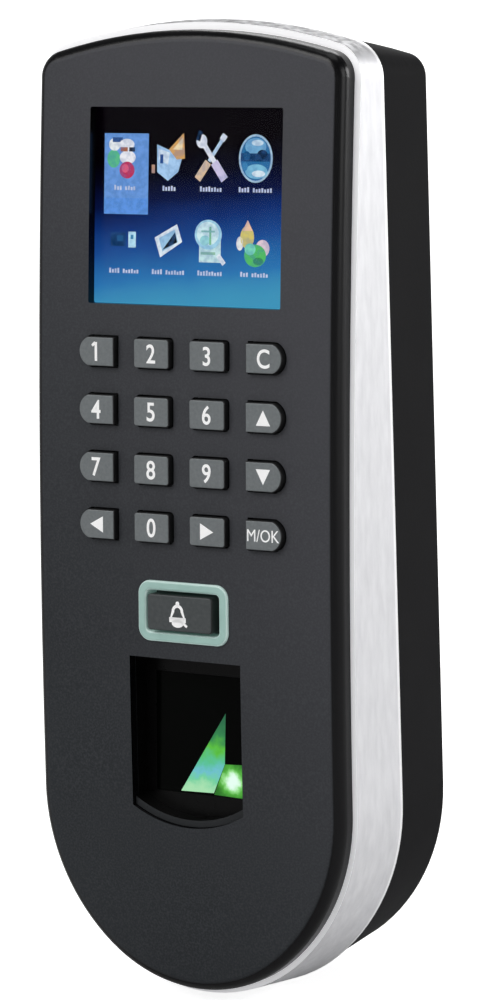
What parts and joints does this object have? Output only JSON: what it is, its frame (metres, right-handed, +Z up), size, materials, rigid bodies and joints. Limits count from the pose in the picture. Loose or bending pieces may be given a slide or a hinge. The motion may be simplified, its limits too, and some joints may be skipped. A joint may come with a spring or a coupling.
{
  "type": "fingerprint scanner terminal",
  "caption": "Wall-mounted fingerprint terminal with colour display, number keys, bell button, lit finger window and a hook-on wall plate.",
  "frame": {"origin": "centre of the wall plate's four screw holes, on the back of the plate, where it meets the wall", "axes": "+Z up along the terminal, +Y into the wall, +X to the right of a person who faces the terminal"},
  "size_m": [0.072, 0.0407, 0.1869],
  "materials": {
    "cover_plastic": "satin charcoal plastic, fine grain, black glossy edge",
    "frame_metal": "silver paint, satin, brighter edges",
    "rear_plastic": "black plastic, fine grain",
    "plate_steel": "zinc-plated sheet",
    "screw_steel": "zinc-plated",
    "lens_clear": "clear window",
    "screen": "lit colour display",
    "backlight": "white diffuser",
    "tray_steel": "pressed sheet",
    "key_plastic": "grey rubbery plastic, white printed legends",
    "ring_plastic": "translucent pale green, faintly lit",
    "button_plastic": "dark grey plastic, white bell symbol",
    "silicone": "translucent grey silicone",
    "board_green": "green solder mask",
    "led": "clear green",
    "hood_plastic": "black plastic",
    "prism_glass": "dark glass lit green at its lower right",
    "lens_black": "black lens barrel",
    "chip": "moulded package",
    "relay_plastic": "blue relay",
    "holder_plastic": "black holder",
    "cell_steel": "steel can",
    "jack_plastic": "black connector",
    "header_plastic": "white connectors",
    "speaker_black": "black speaker can",
    "switch_plastic": "black switch",
    "plunger_plastic": "white plunger",
    "ribbon": "amber flat cable"
  },
  "bodies": {
    "housing": {"board_screws": "screw_steel", "case_screws": "screw_steel", "cell_holder": "holder_plastic", "coin_cell": "cell_steel", "display_backlight": "backlight", "display_lens": "lens_clear", "display_panel": "screen", "display_ribbon": "ribbon", "display_tray": "tray_steel", "front_cover": "cover_plastic", "keypad_board": "board_green", "keypad_mat": "silicone", "keypad_ribbon": "ribbon", "keypad_screws": "screw_steel", "light_ring": "ring_plastic", "lock_screw": "screw_steel", "main_board": "board_green", "memory_chips": "chip", "mid_frame": "frame_metal", "network_chip": "chip", "network_jack": "jack_plastic", "processor": "chip", "rear_cover": "rear_plastic", "relay": "relay_plastic", "ring_leds": "led", "sensor_board": "board_green", "sensor_hood": "hood_plastic", "sensor_housing": "hood_plastic", "sensor_leds": "led", "sensor_lens": "lens_black", "sensor_prism": "prism_glass", "sensor_screws": "screw_steel", "speaker": "speaker_black", "tamper_switch": "switch_plastic", "wall_plate": "plate_steel", "wiring_headers": "header_plastic"},
    "key_1": {"key_1": "key_plastic"},
    "key_2": {"key_2": "key_plastic"},
    "key_3": {"key_3": "key_plastic"},
    "key_clear": {"key_clear": "key_plastic"},
    "key_4": {"key_4": "key_plastic"},
    "key_5": {"key_5": "key_plastic"},
    "key_6": {"key_6": "key_plastic"},
    "key_up": {"key_up": "key_plastic"},
    "key_7": {"key_7": "key_plastic"},
    "key_8": {"key_8": "key_plastic"},
    "key_9": {"key_9": "key_plastic"},
    "key_down": {"key_down": "key_plastic"},
    "key_left": {"key_left": "key_plastic"},
    "key_0": {"key_0": "key_plastic"},
    "key_right": {"key_right": "key_plastic"},
    "key_ok": {"key_ok": "key_plastic"},
    "bell_button": {"bell_button": "button_plastic"},
    "tamper_plunger": {"tamper_plunger": "plunger_plastic"}
  },
  "joints": [
    {"name": "key_1_press", "type": "slide", "parent": "housing", "child": "key_1", "axis": [0, 0.9987, -0.0506], "range_m": [0, 0.0008], "stiffness_N_per_m": 500, "springref_m": -0.0008},
    {"name": "key_2_press", "type": "slide", "parent": "housing", "child": "key_2", "axis": [0, 0.9987, -0.0506], "range_m": [0, 0.0008], "stiffness_N_per_m": 500, "springref_m": -0.0008},
    {"name": "key_3_press", "type": "slide", "parent": "housing", "child": "key_3", "axis": [0, 0.9987, -0.0506], "range_m": [0, 0.0008], "stiffness_N_per_m": 500, "springref_m": -0.0008},
    {"name": "key_clear_press", "type": "slide", "parent": "housing", "child": "key_clear", "axis": [0, 0.9987, -0.0506], "range_m": [0, 0.0008], "stiffness_N_per_m": 500, "springref_m": -0.0008},
    {"name": "key_4_press", "type": "slide", "parent": "housing", "child": "key_4", "axis": [0, 0.9987, -0.0506], "range_m": [0, 0.0008], "stiffness_N_per_m": 500, "springref_m": -0.0008},
    {"name": "key_5_press", "type": "slide", "parent": "housing", "child": "key_5", "axis": [0, 0.9987, -0.0506], "range_m": [0, 0.0008], "stiffness_N_per_m": 500, "springref_m": -0.0008},
    {"name": "key_6_press", "type": "slide", "parent": "housing", "child": "key_6", "axis": [0, 0.9987, -0.0506], "range_m": [0, 0.0008], "stiffness_N_per_m": 500, "springref_m": -0.0008},
    {"name": "key_up_press", "type": "slide", "parent": "housing", "child": "key_up", "axis": [0, 0.9987, -0.0506], "range_m": [0, 0.0008], "stiffness_N_per_m": 500, "springref_m": -0.0008},
    {"name": "key_7_press", "type": "slide", "parent": "housing", "child": "key_7", "axis": [0, 0.9987, -0.0506], "range_m": [0, 0.0008], "stiffness_N_per_m": 500, "springref_m": -0.0008},
    {"name": "key_8_press", "type": "slide", "parent": "housing", "child": "key_8", "axis": [0, 0.9987, -0.0506], "range_m": [0, 0.0008], "stiffness_N_per_m": 500, "springref_m": -0.0008},
    {"name": "key_9_press", "type": "slide", "parent": "housing", "child": "key_9", "axis": [0, 0.9987, -0.0506], "range_m": [0, 0.0008], "stiffness_N_per_m": 500, "springref_m": -0.0008},
    {"name": "key_down_press", "type": "slide", "parent": "housing", "child": "key_down", "axis": [0, 0.9987, -0.0506], "range_m": [0, 0.0008], "stiffness_N_per_m": 500, "springref_m": -0.0008},
    {"name": "key_left_press", "type": "slide", "parent": "housing", "child": "key_left", "axis": [0, 0.9987, -0.0506], "range_m": [0, 0.0008], "stiffness_N_per_m": 500, "springref_m": -0.0008},
    {"name": "key_0_press", "type": "slide", "parent": "housing", "child": "key_0", "axis": [0, 0.9987, -0.0506], "range_m": [0, 0.0008], "stiffness_N_per_m": 500, "springref_m": -0.0008},
    {"name": "key_right_press", "type": "slide", "parent": "housing", "child": "key_right", "axis": [0, 0.9987, -0.0506], "range_m": [0, 0.0008], "stiffness_N_per_m": 500, "springref_m": -0.0008},
    {"name": "key_ok_press", "type": "slide", "parent": "housing", "child": "key_ok", "axis": [0, 0.9987, -0.0506], "range_m": [0, 0.0008], "stiffness_N_per_m": 500, "springref_m": -0.0008},
    {"name": "bell_button_press", "type": "slide", "parent": "housing", "child": "bell_button", "axis": [0, 0.9987, -0.0506], "range_m": [0, 0.0008], "stiffness_N_per_m": 500, "springref_m": -0.0008},
    {"name": "tamper_press", "type": "slide", "parent": "housing", "child": "tamper_plunger", "axis": [0, -1, 0], "range_m": [0, 0.001], "stiffness_N_per_m": 300, "springref_m": -0.0005}
  ]
}
